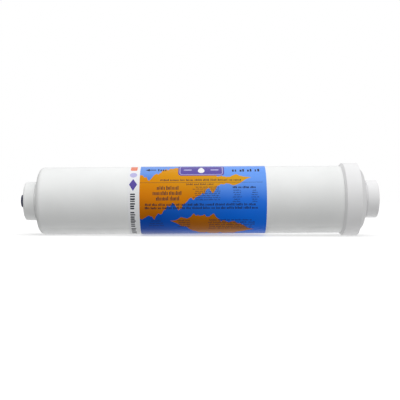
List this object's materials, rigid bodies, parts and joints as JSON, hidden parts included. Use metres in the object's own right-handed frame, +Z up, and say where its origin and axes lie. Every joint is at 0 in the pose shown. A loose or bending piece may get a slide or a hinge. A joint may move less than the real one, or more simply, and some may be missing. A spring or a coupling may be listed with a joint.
{
  "type": "inline water filter",
  "caption": "Sealed tubular water filter packed with granular carbon, with a push-in tube port at each end and a printed wrap label.",
  "frame": {"origin": "centre of the filter's bounding box, on its axis", "axes": "+X along the axis towards the inlet and its welded cap, so water flows towards -X; +Z up as the filter lies; -Y is the side with the front of the label"},
  "size_m": [0.2707, 0.0548, 0.0548],
  "materials": {
    "housing": "satin",
    "label": "satin",
    "retainer": "satin",
    "collet": "satin",
    "steel": "satin",
    "rubber": "matte",
    "plate": "matte",
    "mesh": "matte",
    "felt": "matte",
    "foam": "matte",
    "carbon": "matte"
  },
  "bodies": {
    "filter_body": {"housing_tube": "housing", "end_cap": "housing", "wrap_label": "label", "outlet_retainer": "retainer", "outlet_spacer_ring": "retainer", "outlet_o_ring": "rubber", "outlet_support_plate": "plate", "outlet_mesh": "mesh", "outlet_felt_pad": "felt", "carbon_bed": "carbon", "inlet_felt_pad": "felt", "inlet_foam_pad": "foam", "inlet_diffuser_plate": "plate", "inlet_retainer": "retainer", "inlet_spacer_ring": "retainer", "inlet_o_ring": "rubber"},
    "outlet_grip": {"outlet_collet": "collet", "outlet_tooth_1": "steel", "outlet_tooth_2": "steel", "outlet_tooth_3": "steel", "outlet_tooth_4": "steel"},
    "inlet_grip": {"inlet_collet": "collet", "inlet_tooth_1": "steel", "inlet_tooth_2": "steel", "inlet_tooth_3": "steel", "inlet_tooth_4": "steel"}
  },
  "joints": [
    {"name": "outlet_collet_slide", "type": "slide", "parent": "filter_body", "child": "outlet_grip", "axis": [1, 0, 0], "range_m": [0, 0.00175]},
    {"name": "inlet_collet_slide", "type": "slide", "parent": "filter_body", "child": "inlet_grip", "axis": [1, 0, 0], "range_m": [0, 0.00175]}
  ]
}
